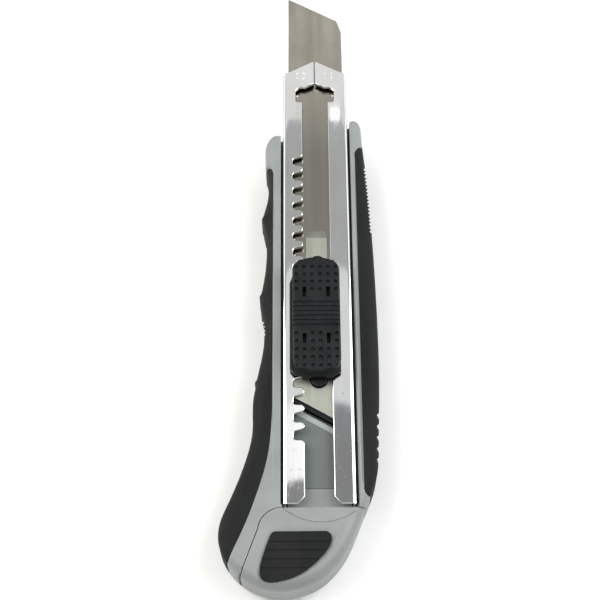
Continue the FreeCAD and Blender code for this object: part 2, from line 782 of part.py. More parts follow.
left_outline = [
    (-left_edge, front_y + 12),
    (-left_edge, front_y),
    (-left_edge + 0.1, cap_y + 113.0),
    (-left_edge + 0.35 * wave, cap_y + 107.0),
    (-left_edge, cap_y + 101.0),
    (-left_edge - 0.8 * wave, cap_y + 95.1),
    (-left_edge - 0.15 * wave, cap_y + 89.5),
    (-left_edge + 0.1 * wave, cap_y + 84.5),
    (-left_edge - 0.3 * wave, cap_y + 75.5),
    (-left_edge - 1.1 * wave, cap_y + 68.5),
    (-left_edge - 0.45 * wave, cap_y + 61.5),
    (-left_edge - 0.2 * wave, cap_y + 55.5),
    (-left_edge - 0.6 * wave, cap_y + 47.6),
    (-left_edge - 1.5 * wave, cap_y + 41.0),
    (-left_edge - 1.9 * wave, cap_y + 35.5),
    (-left_edge - 0.26 * horn, cap_y + 24.0),
    (-left_edge - 0.36 * horn, cap_y + 16.9),
    (-left_edge - 0.56 * horn, cap_y + 9.0),
    (-left_edge - 0.78 * horn, cap_y + 2.0),
    (-left_edge - 0.95 * horn, cap_y - 3.5),
    (-left_edge - 0.99 * horn, cap_y - 0.34 * horn_depth),
    (-left_edge - 0.92 * horn, cap_y - 0.52 * horn_depth),
    (-left_edge - 0.70 * horn, cap_y - 0.72 * horn_depth),
    (-left_edge - 0.28 * horn, cap_y - 0.91 * horn_depth),
    (-left_edge + 0.25 * horn, butt_y),
]
right_outline = [
    (-0.39 * right_edge, cap_y - 0.975 * horn_depth),
    (-0.05 * right_edge, cap_y - 0.89 * horn_depth),
    (0.30 * right_edge, cap_y - 0.70 * horn_depth),
    (0.58 * right_edge, cap_y - 0.42 * horn_depth),
    (0.84 * right_edge, cap_y - 0.02 * horn_depth),
    (right_edge + 0.40 * palm, cap_y + 9.0),
    (right_edge + 0.75 * palm, cap_y + 20.0),
    (right_edge + 0.97 * palm, cap_y + 38.0),
    (right_edge + palm, cap_y + 58.0),
    (right_edge + 0.75 * palm, cap_y + 89.0),
    (right_edge + 0.30 * palm, cap_y + 113.0),
    (right_edge, front_y),
    (right_edge - 0.1, front_y + 12),
]
outline_edges = [spline(left_outline + right_outline)]
outline_edges += chain([right_outline[-1], left_outline[0]])
handle_blank = prism(outline_edges, 0, value("handle_thick"))
flank_edges = [
    edge for edge in handle_blank.Edges
    if edge.Curve.TypeId != "Part::GeomLine"
]
handle_blank = handle_blank.makeFillet(value("handle_edge_radius"), flank_edges)

# The front end runs up to each rail's rounded tip, higher on the right.
tall = value("handle_thick") + 5
left_rail_out = value(rail_left_edge)
right_rail_out = value(rail_right_edge)
lead = value("right_rail_lead")
inner_rail = value(f"{half_channel} + rail_gap")
front_edges = [spline([
    (-left_edge - 1, front_y - 7.0),
    (-left_edge, front_y - 3.4),
    (-left_rail_out - 1.0, front_y - 0.9),
    (-inner_rail, front_y),
]), spline([
    (inner_rail, front_y + lead - 0.6),
    (right_rail_out - 0.4, front_y + lead),
    (right_rail_out + 0.8, front_y + lead),
    (right_rail_out + 1.9, front_y + lead - 1.0),
    (right_edge, front_y + lead - 3.5),
    (right_edge + 1, front_y + lead - 8.0),
])]
front_edges += chain([(-inner_rail, front_y), (inner_rail, front_y + lead - 0.6)])
front_edges += chain([
    (right_edge + 1, front_y + lead - 8.0),
    (right_edge + 12, front_y + lead - 8.0),
    (right_edge + 12, front_y + 40),
    (-left_edge - 12, front_y + 40),
    (-left_edge - 12, front_y - 7.0),
    (-left_edge - 1, front_y - 7.0),
])
handle_blank = handle_blank.cut(prism(front_edges, -1, tall))


# ------------------------------------------------------------------------------- rubber grips
# Soft rubber moulded over both flanks of the shell. Each runs in plan from the rail outwards.

rise = value("grip_rise")
finger_inner = [
    (-left_edge - 20, cap_y + 113.6),
    (-left_edge + 0.2, cap_y + 113.6),
]
finger_top = spline([
    (-left_edge + 0.2, cap_y + 113.6),
    (-left_rail_out - 0.7, cap_y + 112.4),
    (-left_rail_out, cap_y + 110.0),
])
finger_side = chain([(-left_rail_out, cap_y + 110.0), (-left_rail_out, cap_y + 31.0)])
finger_sweep = spline([
    (-left_rail_out, cap_y + 31.0),
    (-left_rail_out - 0.35, cap_y + 23.0),
    (-left_rail_out - 1.2, cap_y + 15.5),
    (-left_rail_out - 4.4, cap_y + 3.8),
    (-left_rail_out - 6.9, cap_y - 3.2),
    (-left_rail_out - 9.9, cap_y - 10.1),
    (-left_rail_out - 12.7, cap_y - 16.0),
])
finger_end = chain([
    (-left_rail_out - 12.7, cap_y - 16.0),
    (-left_rail_out - 15.0, cap_y - 20.5),
    (-left_edge - 20, cap_y - 20.5),
    (-left_edge - 20, cap_y + 113.6),
])
finger_plan = chain(finger_inner) + [finger_top] + finger_side + [finger_sweep] + finger_end
finger_region = prism(finger_plan, rise, tall)

palm_top = cap_y + 120.5
palm_low = cap_y + 3.6
palm_plan = chain([
    (right_rail_out, palm_low + 2.0),
    (right_rail_out, palm_top - 5.0),
]) + [spline([
    (right_rail_out, palm_top - 5.0),
    (right_rail_out + 0.6, palm_top - 1.4),
    (right_rail_out + 2.2, palm_top),
])] + chain([
    (right_rail_out + 2.2, palm_top),
    (right_edge + 12, palm_top),
    (right_edge + 12, palm_low),
    (right_rail_out + 1.3, palm_low),
]) + [spline([
    (right_rail_out + 1.3, palm_low),
    (right_rail_out + 0.3, palm_low + 0.7),
    (right_rail_out, palm_low + 2.0),
])]
palm_region = prism(palm_plan, rise, tall)


# ------------------------------------------------------------------------------------ end cap
# The butt of the handle, parted from the shell across the rear and round the horn. It pulls
# straight back. A plug lies on the channel's floor, and two snap arms run in the shell's walls.

def parting_plan(gap):
    """Plan of all that lies behind the parting line, moved back by gap."""
    y = cap_y - gap
    return chain([
        (right_edge + 15, y),
        (-left_rail_out + 2.2, y),
    ]) + [spline([
        (-left_rail_out + 2.2, y),
        (-left_rail_out - 0.4 + gap / 2, y - 0.8),
        (-left_rail_out - 2.9 + gap, y - 2.9),
        (-left_rail_out - 4.0 + gap, y - 5.8),
    ])] + chain([
        (-left_rail_out - 4.0 + gap, y - 5.8),
        (-left_rail_out - 13.0 + gap, y - 30.0),
        (right_edge + 15, y - 30.0),
        (right_edge + 15, y),
    ])


cap_region = prism(parting_plan(value("cap_gap")), -1, tall)
shell_cut_region = prism(parting_plan(0), -1, tall)
clear = value("fit_clear")
inside = value(half_inside)


def tail_room(half, low, high, extra):
    """The space that the carriage's tail sweeps behind the parting line, drawn right in."""
    end = value(f"{carrier_rear} - {retract}") - extra
    right = value("tail_right") + extra
    steep = value(slant)
    return prism([
        (-half, cap_y + 1),
        (right, cap_y + 1),
        (right, min(end - right * steep, cap_y + 0.5)),
        (-half, min(end + half * steep, cap_y + 0.5)),
    ], low, high)


def snap_arms(length, spread):
    """The cap's two side arms, grown by spread all round to make their slots."""
    arms = []
    thick = value("cap_arm_thick")
    low = value("cap_arm_low")
    high = low + value("cap_arm_height")
    for middle in (
            -(value(store_half) + left_rail_out) / 2,
            (value(store_half) + right_rail_out) / 2):
        arms.append(block(
            (middle - thick / 2 - spread, cap_y - 1.5, low - spread),
            (middle + thick / 2 + spread, cap_y + length + spread, high + spread)))
    return arms


pad_y = cap_y - value("pad_inset")
pad_end = pad_y - value("pad_length")
pad_left = -left_rail_out - 3.2
pad_plan = chain([
    (pad_left + 4.2, pad_y),
    (pad_left + 18.2, pad_y),
]) + [spline([
    (pad_left + 18.2, pad_y),
    (pad_left + 19.7, pad_y - 0.7),
    (pad_left + 20.1, pad_y - 2.2),
    (pad_left + 19.3, pad_y - 4.4),
    (pad_left + 16.7, pad_y - 7.6),
    (pad_left + 12.7, pad_y - 11.0),
    (pad_left + 8.3, pad_y - 13.2),
    (pad_left + 5.3, pad_end + 0.1),
    (pad_left + 1.7, pad_end),
    (pad_left + 0.4, pad_end + 0.8),
    (pad_left - 0.1, pad_end + 2.2),
    (pad_left + 0.3, pad_y - 8.5),
    (pad_left + 1.4, pad_y - 4.9),
    (pad_left + 2.6, pad_y - 1.6),
    (pad_left + 3.2, pad_y - 0.5),
    (pad_left + 4.2, pad_y),
])]
pad_low = value("handle_thick - pad_depth")
pad_high = value("handle_thick + pad_rise")

cap = handle_blank.common(cap_region)
cap = cap.cut(tail_room(inside - clear, value(guide_top), value(lip_bottom) - clear, 0.5))
cap = cap.cut(prism(pad_plan, pad_low, tall))
plug = block(
    (-inside + clear + 0.15, cap_y - 1.5, value(floor_top) + 0.1),
    (inside - clear - 0.15, value(plug_front), value(guide_top)))
cap = cap.fuse([plug] + snap_arms(value("cap_arm_length"), 0))
made_shape("end_cap", cap)
made_shape("thumb_pad", prism(pad_plan, pad_low, pad_high))


# --------------------------------------------------------------------------------- body shell
# The grey moulding that all else sits in: rails beside the channel, a deck under it, and below
# the deck a store for spare blades, open behind for the end cap.

shell = handle_blank.cut([finger_region, palm_region, shell_cut_region])
rear_y = value(channel_rear)
ahead = front_y + lead + 5
half = value(half_channel)
seat_z = value(channel_bottom)
shell = shell.cut([
    block((-half, rear_y, seat_z), (half, ahead, tall)),
    block((-inner_rail, rear_y, seat_z + value("seat_height")), (inner_rail, ahead, tall)),
    block((-inside, cap_y - 1, value(floor_top)), (inside, rear_y + 1, value(lip_bottom) - clear)),
    block(
        (-value(store_half), cap_y - 1, value("store_floor")),
        (value(store_half), value(store_front), value(deck_low))),
])
shell = shell.cut(snap_arms(value("cap_arm_length"), clear))
back_half = value("back_grip_half")
margin = value("back_grip_margin")
back_panel = block(
    (-back_half, cap_y + margin, 0),
    (back_half, front_y - margin, value("back_grip_thick")))
corner_edges = [
    edge for edge in back_panel.Edges
    if runs_along(edge, 2)
]
back_panel = back_panel.makeFillet(back_half * 0.6, corner_edges)
shell = shell.cut(back_panel)
made_shape("body_shell", shell)
made_shape("finger_grip", handle_blank.common(finger_region).cut(shell_cut_region))
made_shape("palm_grip", handle_blank.common(palm_region).cut(shell_cut_region))

groove_count = 13
groove_pitch = (front_y - cap_y - 2 * margin - 2 * back_half) / groove_count
grooves = [
    block(
        (-back_half * 0.75, cap_y + margin + back_half + groove_pitch * (number + 0.5), -0.1),
        (back_half * 0.75, cap_y + margin + back_half + groove_pitch * (number + 0.5) + 1.2, 0.5))
    for number in range(groove_count)
]
made_shape("back_grip", back_panel.cut(grooves))


# ------------------------------------------------------------------------- checks and export

doc.recompute()
PIECES = (
    ["body_shell", "finger_grip", "palm_grip", "back_grip", "blade_channel", "rear_guide"]
    + ["carrier", "blade_holder", "blade_stud", "lock_spring", "pressure_spring", "main_blade"]
    + ["slider_button", "end_cap", "thumb_pad", "follower", "store_spring"]
    + [f"spare_blade_{number + 1}" for number in range(int(value("spare_count")))]
)
for item in doc.Objects:
    if "Invalid" in item.State or "Error" in item.State:
        raise RuntimeError(f"{item.Label} did not compute: {item.State}")
for name in PIECES:
    piece = doc.getObjectsByLabel(name)[0]
    if piece.Shape.isNull() or not piece.Shape.isValid():
        raise RuntimeError(f"{name} has no sound shape")
    if len(piece.Shape.Solids) != 1:
        raise RuntimeError(f"{name} is {len(piece.Shape.Solids)} solids, not one")
for name in PIECES:
    piece = doc.getObjectsByLabel(name)[0]
    piece.Shape.exportStep(os.path.join("parts", f"{name}.step"))
    box = piece.Shape.BoundBox
    print(f"{name:16s} X {box.XMin:7.2f} {box.XMax:7.2f}  Y {box.YMin:7.2f} {box.YMax:7.2f}"
          f"  Z {box.ZMin:6.2f} {box.ZMax:6.2f}  {piece.Shape.Volume:9.1f} mm3")
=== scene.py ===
import math

import bpy
from mathutils import Matrix, Vector


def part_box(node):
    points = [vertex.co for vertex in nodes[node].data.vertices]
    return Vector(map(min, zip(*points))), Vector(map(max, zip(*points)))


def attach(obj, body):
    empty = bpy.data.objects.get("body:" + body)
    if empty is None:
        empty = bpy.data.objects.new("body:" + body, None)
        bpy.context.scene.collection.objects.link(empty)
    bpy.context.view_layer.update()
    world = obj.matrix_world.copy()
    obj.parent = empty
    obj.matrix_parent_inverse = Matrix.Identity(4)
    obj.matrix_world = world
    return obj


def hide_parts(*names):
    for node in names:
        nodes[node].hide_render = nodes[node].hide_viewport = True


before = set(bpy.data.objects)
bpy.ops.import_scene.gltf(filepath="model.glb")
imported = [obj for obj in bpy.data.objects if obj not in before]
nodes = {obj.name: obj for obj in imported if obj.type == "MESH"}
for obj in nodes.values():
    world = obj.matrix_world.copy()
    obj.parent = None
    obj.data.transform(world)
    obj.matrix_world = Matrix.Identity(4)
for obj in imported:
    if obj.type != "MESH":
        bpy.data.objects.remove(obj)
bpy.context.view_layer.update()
MM = 0.001


# ------------------------------------------------------------------------------------- camera
# The knife lies on its back and is seen from over its rear end, 25 degrees off the plumb line.

LENS = 74.76
VIEW_TILT = math.radians(25.2)
VIEW_ROLL = math.radians(-0.37)
VIEW_DISTANCE = 381.6 * MM
VIEW_AIM = Vector((-5.3, 0, 17.5)) * MM

ahead = Vector((0, math.sin(VIEW_TILT), -math.cos(VIEW_TILT)))
across = Vector((1, 0, 0))
upward = across.cross(ahead)
right = across * math.cos(VIEW_ROLL) + upward * math.sin(VIEW_ROLL)
up = upward * math.cos(VIEW_ROLL) - across * math.sin(VIEW_ROLL)
bpy.ops.object.select_all(action="DESELECT")
bpy.ops.object.camera_add()
camera = bpy.context.object
camera.matrix_world = Matrix.Translation(VIEW_AIM - ahead * VIEW_DISTANCE) @ Matrix(
    (right, up, -ahead)
).transposed().to_4x4()
camera.data.lens = LENS
camera.data.clip_start = 10 * MM
bpy.context.scene.camera = camera


# --------------------------------------------------------------------------- floor and studio light
# A sheet of white board on a table, under a soft pale room. Soft lights stand to the left and
# right, one stands low at the rear, and weak strips hang where the bright steel faces them.

BOARD_SIDE = 16.0
ROOM_LIGHT = (0.90, 0.91, 0.92, 1)
ROOM_STRENGTH = 0.31
BOARD_DROP = 0.2 * MM
# For each light: its middle, its two sides, its power and its colour.
SOFT_LIGHTS = {
    "left_light": ((-0.95, 0.15, 0.85), (0.8, 1.4), 16.6, (1.0, 0.99, 0.97)),
    "right_light": ((0.95, 0.18, 0.85), (0.8, 1.4), 16.6, (0.98, 0.99, 1.0)),
    "left_fill": ((-0.95, 1.00, 0.85), (0.9, 0.8), 2.3, (1.0, 0.99, 0.97)),
    "right_fill": ((0.95, 1.00, 0.85), (0.9, 0.8), 2.3, (0.98, 0.99, 1.0)),
    "gleam_light": ((0.031, 0.522, 0.70), (0.016, 0.012), 0.00055, (1.0, 1.0, 1.0)),
    "rear_light": ((0.0, -1.15, 0.55), (1.2, 0.8), 1.3, (1.0, 1.0, 0.99)),
}
STRIP_HEIGHT = 0.72
# For each strip: its left, right, near and far edges, its brightness and its colour.
STEEL_STRIPS = {
    "tip_strip": (-0.3, 0.3, 0.605, 0.715, 0.98, (1.0, 0.98, 0.95)),
    "front_strip": (-0.3, 0.3, 0.53, 0.605, 0.62, (1.0, 0.99, 0.97)),
    "dim_strip": (-0.3, 0.3, 0.365, 0.53, 0.185, (0.99, 1.0, 0.98)),
    "middle_strip": (-0.3, 0.3, 0.229, 0.365, 0.56, (0.98, 1.0, 1.0)),
    "rear_strip": (-0.29, 0.004, 0.158, 0.229, 0.92, (1.0, 1.0, 0.99)),
    "rear_panel": (-0.3, 0.3, -0.45, 0.05, 0.80, (1.0, 1.0, 0.99)),
}


class Signal:
    """A value on its way through a material: arithmetic adds Math nodes, node() any other."""

    def __init__(self, tree, socket):
        self.tree = tree
        self.socket = socket

    def node(self, kind, settings, inputs, output=0):
        made = self.tree.nodes.new("ShaderNode" + kind)
        for name, setting in settings.items():
            setattr(made, name, setting)
        for name, value in inputs.items():
            if isinstance(value, Signal):
                self.tree.links.new(value.socket, made.inputs[name])
            else:
                made.inputs[name].default_value = value
        return Signal(self.tree, made.outputs[output])

    def maths(self, operation, first, second):
        return self.node("Math", {"operation": operation}, {0: first, 1: second})

    def __add__(self, other):
        return self.maths("ADD", self, other)

    def __sub__(self, other):
        return self.maths("SUBTRACT", self, other)

    def __rsub__(self, other):
        return self.maths("SUBTRACT", other, self)

    def __mul__(self, other):
        return self.maths("MULTIPLY", self, other)

    __radd__ = __add__
    __rmul__ = __mul__


def noise(place, scale, detail=2.0):
    """Soft blotches, so many of them to the metre along each axis."""
    stretched = place.node("Mapping", {}, {"Vector": place, "Scale": scale})
    return place.node("TexNoise", {}, {"Vector": stretched, "Scale": 1.0, "Detail": detail})


def between(signal, low, high, bottom=0.0, top=1.0):
    """The signal's run from low to high, made a run from bottom to top."""
    spans = {"From Min": low, "From Max": high, "To Min": bottom, "To Max": top}
    return signal.node("MapRange", {}, {"Value": signal, **spans})


def blend(factor, first, second):
    """One colour turning into another."""
    return factor.node("Mix", {"data_type": "RGBA"}, {0: factor, 6: first, 7: second}, 2)


def relief(height, depth):
    """A bump as deep as the depth, in metres."""
    return height.node("Bump", {}, {"Strength": 1.0, "Distance": depth, "Height": height})


def edges(place, radius):
    """One on the corners that are rubbed, nought on the faces between them."""
    rounded = place.node("Bevel", {"samples": 4}, {"Radius": radius})
    facing = place.node("NewGeometry", {}, {}, "Normal")
    along = {0: rounded, 1: facing}
    product = place.node("VectorMath", {"operation": "DOT_PRODUCT"}, along, "Value")
    return between(1 - product, 0.01, 0.14)


def finish(name, recipe, **constants):
    """A material: the recipe gives what varies over the surface, the rest is set on the shader."""
    material = bpy.data.materials.new(name)
    material.use_nodes = True
    tree = material.node_tree
    shader = tree.nodes["Principled BSDF"]
    for socket, value in constants.items():
        shader.inputs[socket.replace("_", " ")].default_value = value
    place = Signal(tree, tree.nodes.new("ShaderNodeTexCoord").outputs["Object"])
    for socket, signal in recipe(place).items():
        tree.links.new(signal.socket, shader.inputs[socket])
    return material


def board(place):
    mottle = noise(place, (9, 9, 9))
    return {
        "Base Color": blend(mottle, (0.90, 0.90, 0.885, 1), (0.93, 0.93, 0.915, 1)),
        "Roughness": between(mottle, 0.3, 0.7, 0.62, 0.72),
    }


def dress(piece, material):
    """Gives a piece its one material."""
    piece.data.materials.clear()
    piece.data.materials.append(material)


bpy.ops.object.select_all(action="DESELECT")
bpy.ops.mesh.primitive_plane_add(size=BOARD_SIDE, location=(0, 0, -BOARD_DROP))
floor = bpy.context.object
floor.name = "white_board"
dress(floor, finish("white_board", board))

world = bpy.data.worlds.new("pale_room")
world.use_nodes = True
world.node_tree.nodes["Background"].inputs["Color"].default_value = ROOM_LIGHT
world.node_tree.nodes["Background"].inputs["Strength"].default_value = ROOM_STRENGTH
bpy.context.scene.world = world
bpy.context.scene.view_settings.view_transform = "Standard"


def area_light(name, place, sides, power, colour):
    """A rectangular light facing straight down, until it is turned."""
    bpy.ops.object.light_add(type="AREA", location=place)
    light = bpy.context.object
    light.name = name
    light.data.shape = "RECTANGLE"
    light.data.size, light.data.size_y = sides
    light.data.energy = power
    light.data.color = colour
    return light


for name, (place, sides, power, colour) in SOFT_LIGHTS.items():
    light = area_light(name, place, sides, power, colour)
    light.rotation_euler = (-Vector(place)).to_track_quat("-Z", "Y").to_euler()

for name, (left, right, near, far, brightness, colour) in STEEL_STRIPS.items():
    sides = (right - left, far - near)
    place = ((left + right) / 2, (near + far) / 2, STRIP_HEIGHT)
    area_light(name, place, sides, brightness * math.pi * sides[0] * sides[1], colour)


# -------------------------------------------------------------------------------- handle shell
# The grip of the knife: one hollow moulding in grey ABS, with two rails that hold the steel
# channel between them. Fine sparked grain from the mould, polished a little where it is held.

GREY = (0.205, 0.219, 0.216, 1)
GREY_PALE = (0.236, 0.250, 0.246, 1)
GREY_RUBBED = (0.40, 0.42, 0.42, 1)


def grey_abs(place):
    clouds = noise(place, (70, 70, 70), 4.0)
    grain = noise(place, (5200, 5200, 5200))
    rubbed = edges(place, 0.5 * MM) * between(noise(place, (900, 220, 900)), 0.45, 0.65)
    moulded = blend(between(clouds, 0.35, 0.65), GREY, GREY_PALE)
    return {
        "Base Color": blend(rubbed * 0.45, moulded, GREY_RUBBED),
        "Roughness": between(clouds, 0.3, 0.7, 0.40, 0.50) - 0.08 * rubbed,
        "Normal": relief(grain, 0.006 * MM),
    }


grey_plastic = finish("grey_abs", grey_abs, Coat_Weight=0.0, IOR=1.50)


def recast(node, name):
    """A fresh piece in a node's place, its triangles joined and its flat faces made whole."""
    piece = bpy.data.objects.new(name, nodes[node].data.copy())
    bpy.context.collection.objects.link(piece)
    bpy.ops.object.select_all(action="DESELECT")
    piece.select_set(True)
    bpy.context.view_layer.objects.active = piece
    bpy.ops.object.mode_set(mode="EDIT")
    bpy.ops.mesh.select_all(action="SELECT")
    bpy.ops.mesh.remove_doubles(threshold=0.002 * MM)
    bpy.ops.mesh.dissolve_limited(angle_limit=math.radians(0.3))
    bpy.ops.object.mode_set(mode="OBJECT")
    return piece


def change(piece, kind, **settings):
    """Puts a modifier on a piece and applies it."""
    bpy.ops.object.select_all(action="DESELECT")
    piece.select_set(True)
    bpy.context.view_layer.objects.active = piece
    modifier = piece.modifiers.new(kind, kind)
    for name, setting in settings.items():
        setattr(modifier, name, setting)
    bpy.ops.object.modifier_apply(modifier=modifier.name)


def cut(piece, tool):
    """Cuts a piece with a tool, which is used up."""
    change(piece, "BOOLEAN", object=tool, operation="DIFFERENCE", solver="EXACT")
    bpy.data.objects.remove(tool)


def join(piece, other):
    """Welds another solid to a piece."""
    change(piece, "BOOLEAN", object=other, operation="UNION", solver="EXACT")
    bpy.data.objects.remove(other)


def soften(piece, width, segments=2):
    """Rounds every sharp edge of a piece by so many millimetres."""
    change(
        piece, "BEVEL", width=width * MM, segments=segments,
        limit_method="ANGLE", angle_limit=math.radians(38),
    )


def smooth(piece):
    """Smooth shading that keeps flat faces flat."""
    bpy.ops.object.select_all(action="DESELECT")
    piece.select_set(True)
    bpy.context.view_layer.objects.active = piece
    bpy.ops.object.shade_smooth_by_angle(angle=math.radians(40))
    change(piece, "WEIGHTED_NORMAL", keep_sharp=True)


def fit(piece, body, material, slot, *replaced):
    """Hands a finished piece over: its body, its material and the nodes that it stands for."""
    dress(piece, material)
    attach(piece, body)
    if replaced:
        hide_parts(*replaced)


# The channel lies in a trough that runs on past its rear end, up to the end cap.
CAP_FRONT = -64.95
TROUGH_SPARE = 0.8
TROUGH_LAP = 0.4
TROUGH_DEPTH = 2.6

channel_low, channel_high = (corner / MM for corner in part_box("blade_channel"))
shell = recast("body_shell", "handle_shell")
bpy.ops.object.select_all(action="DESELECT")
bpy.ops.mesh.primitive_cube_add(
    size=MM,
    location=Vector((0, (channel_low.y + CAP_FRONT) / 2, channel_high.z)) * MM,
    scale=(
        channel_high.x - channel_low.x + TROUGH_SPARE,
        channel_low.y - CAP_FRONT + TROUGH_LAP,
        2 * TROUGH_DEPTH,
    ),
)
cut(shell, bpy.context.object)
smooth(shell)
fit(shell, "handle", grey_plastic, "grey_plastic", "body_shell")


# -------------------------------------------------------------------------------- rubber grips
# Soft black thermoplastic rubber, moulded over the shell in three places: scooped finger hollows
# on the left, a palm strip on the right, and a grooved pad under the back. Rows of notches are
# moulded across the outer edges, where they are pressed.

RUBBER = (0.0068, 0.0078, 0.0074, 1)
RUBBER_DUSTY = (0.0130, 0.0140, 0.0132, 1)
NOTCH_LEAN = math.radians(25.2)
# For each row of notches: where it starts, its pitch, its count and the notches' radius.
FINE_NOTCHES = (51.0, -1.35, 18, 0.52)
COARSE_NOTCHES = (-34.0, -3.45, 5, 0.95)
LAST_NOTCHES = (-55.4, -1.7, 3, 0.5)
REST_NOTCHES = (-3.6, -1.3, 4, 0.35)
CRESTS = (30.5, 4.7, -25.5)
CREST_PULL = 0.42
CREST_SPREAD = 1.9
CREST_STEP = 0.75
CREST_CUTS = 8
CREST_SHIFT = 1.6
SHIFT_SPREAD = 7.0
INNER_EDGE = -14.1
EDGE_FADE = 1.5
BARREL = 1.15
BARREL_END = -36
BARREL_FADE = 9
MID_HEIGHT = 8.5
PROBE_HEIGHT = 9
PROBE_START = 60


def black_tpr(place):
    dust = noise(place, (150, 60, 150), 5.0)
    grain = noise(place, (3600, 3600, 3600), 3.0)
    handled = between(dust, 0.42, 0.72)
    return {
        "Base Color": blend(handled, RUBBER, RUBBER_DUSTY),
        "Roughness": between(dust, 0.3, 0.7, 0.60, 0.76),
        "Normal": relief(grain, 0.014 * MM),
    }


black_rubber = finish("black_tpr", black_tpr, IOR=1.45, Specular_IOR_Level=0.20)


def edge_x(piece, y, side):
    """How far out a piece reaches at a place along the knife, in mm."""
    start = Vector((side * PROBE_START, y, PROBE_HEIGHT)) * MM
    return piece.ray_cast(start, Vector((-side, 0, 0)))[1].x / MM


def rod(radius, length, place, turn=(0, 0, 0), sides=16):
    """A round rod to cut with, its middle at a place, in mm."""
    bpy.ops.object.select_all(action="DESELECT")
    bpy.ops.mesh.primitive_cylinder_add(
        vertices=sides, radius=radius * MM, depth=length * MM,
        location=[part * MM for part in place], rotation=turn,
    )
    return bpy.context.object


def notch_edge(piece, side, start, pitch, count, radius):
    """Presses a row of notches into a grip's outer edge, leaning back like the mould's parting."""
    for number in range(count):
        y = start + pitch * number
        cut(piece, rod(radius, 30, (edge_x(piece, y, side), y, MID_HEIGHT), (NOTCH_LEAN, 0, 0)))


finger_grip = recast("finger_grip", "finger_hollows")
bpy.ops.object.mode_set(mode="EDIT")
for crest in CRESTS:
    for step in range(-CREST_CUTS, CREST_CUTS + 1):
        y = crest + CREST_STEP * step
        bpy.ops.mesh.select_all(action="SELECT")
        bpy.ops.mesh.bisect(plane_co=(0, y * MM, 0), plane_no=(0, 1, 0))
bpy.ops.object.mode_set(mode="OBJECT")
# The wall is drawn in beside each crest and above and below its middle, and the second crest
# is shifted to the rear.
for vertex in finger_grip.data.vertices:
    out = min(max((INNER_EDGE - vertex.co.x / MM) / EDGE_FADE, 0), 1)
    away = min(abs(vertex.co.y / MM - crest) for crest in CRESTS) / CREST_SPREAD
    height = vertex.co.z / MM / MID_HEIGHT - 1
    ahead_of_palm = min(max((vertex.co.y / MM - BARREL_END) / BARREL_FADE, 0), 1)
    bulge = BARREL * ahead_of_palm * height * height
    from_middle = (vertex.co.y / MM - CRESTS[1]) / SHIFT_SPREAD
    vertex.co.y -= out * CREST_SHIFT * math.exp(-from_middle * from_middle) * MM
    vertex.co.x += out * (CREST_PULL * away * math.exp(1 - away) + bulge) * MM
notch_edge(finger_grip, -1, *REST_NOTCHES)
smooth(finger_grip)
fit(finger_grip, "handle", black_rubber, "black_rubber", "finger_grip")

palm_grip = recast("palm_grip", "palm_strip")
for row in (FINE_NOTCHES, COARSE_NOTCHES, LAST_NOTCHES):
    notch_edge(palm_grip, 1, *row)
smooth(palm_grip)
fit(palm_grip, "handle", black_rubber, "black_rubber", "palm_grip")

dress(nodes["back_grip"], black_rubber)


# --------------------------------------------------------------- spare blades and their feed
# Three spare blades lie in the handle on a plastic follower, which a bowed leaf of spring steel
# lifts. Bare carbon steel, straight from the grinder, with a film of oil.

BLADE = (0.395, 0.375, 0.325, 1)
BLADE_DULL = (0.330, 0.315, 0.270, 1)
BLADE_PAINTED_SHADE_BAND = (0.270, 0.250, 0.220, 1)


def ground_steel(place):
    strokes = noise(place, (700, 26, 700), 3.0)
    film = noise(place, (55, 38, 55), 4.0)
    # Darker streaks along the blade are painted shade, standing for the dark bands in its
    # reflection.
    painted_shade_bands = between(noise(place, (260, 7, 260), 2.0), 0.35, 0.68)
    ground = blend(between(film, 0.35, 0.7), BLADE, BLADE_DULL)
    return {
        "Base Color": blend(0.5 * painted_shade_bands, ground, BLADE_PAINTED_SHADE_BAND),
        "Roughness": between(strokes, 0.3, 0.7, 0.14, 0.20) + between(film, 0.5, 0.8, 0.0, 0.08),
        "Normal": relief(strokes, 0.0006 * MM),
    }


def spring_strip(place):
    strokes = noise(place, (1500, 60, 1500), 2.0)
    return {
        "Base Color": blend(strokes, (0.36, 0.35, 0.33, 1), (0.50, 0.48, 0.45, 1)),
        "Roughness": between(strokes, 0.3, 0.7, 0.26, 0.40),
    }


blade_steel = finish("ground_steel", ground_steel, Metallic=1.0)
spring_steel = finish("spring_strip", spring_strip, Metallic=1.0)
dress(nodes["spare_blade_1"], blade_steel)
dress(nodes["spare_blade_2"], blade_steel)
dress(nodes["spare_blade_3"], blade_steel)
dress(nodes["store_spring"], spring_steel)


# ------------------------------------------------------------------------------ blade channel
# A strip of bright chromed steel, folded lengthwise into a flat channel. Its two lips leave a
# slot between them, which ends in a keyhole near the nose, and the left lip is notched for the
# slider's tooth. The sheared edges are tumbled round.

SHEET = 1.0
FOLD_FACET = 1.0
FACET_LIFT = 0.4
SLOT_HALF = 4.2
WALL = 1.0
NOSE_HALF = 8.5
NOSE_DROP = 4.6
CORNER_DROP = 5.4
KEY_HALF = 6.3
KEY_FRONT = 10.9
KEY_REAR = 16.5
KEY_PEAK = 9.2
SPLIT_HALF = 0.17
NOTCH_COUNT = 18
NOTCH_PITCH = 5.465
NOTCH_TOP = 50.57
NOTCH_HEIGHT = 2.55
NOTCH_DEPTH = 3.2
NOTCH_RISE = 0.85
REAR_CUT = 1.9
LIP_ROUND = 0.36
RING_ACROSS = 4.6
RING_BACK = 6.2
RING_RADIUS = 1.45
RING_GROOVE = 0.026
KEY_ROUND = 0.75
NOTCH_ROUND = 0.7
TOOTH_ROUND = 0.75
TIP_ROUND = 1.15
SPLIT_ROUND = 0.8
CHROME = (0.80, 0.81, 0.82, 1)
CHROME_WARM = (0.74, 0.735, 0.72, 1)


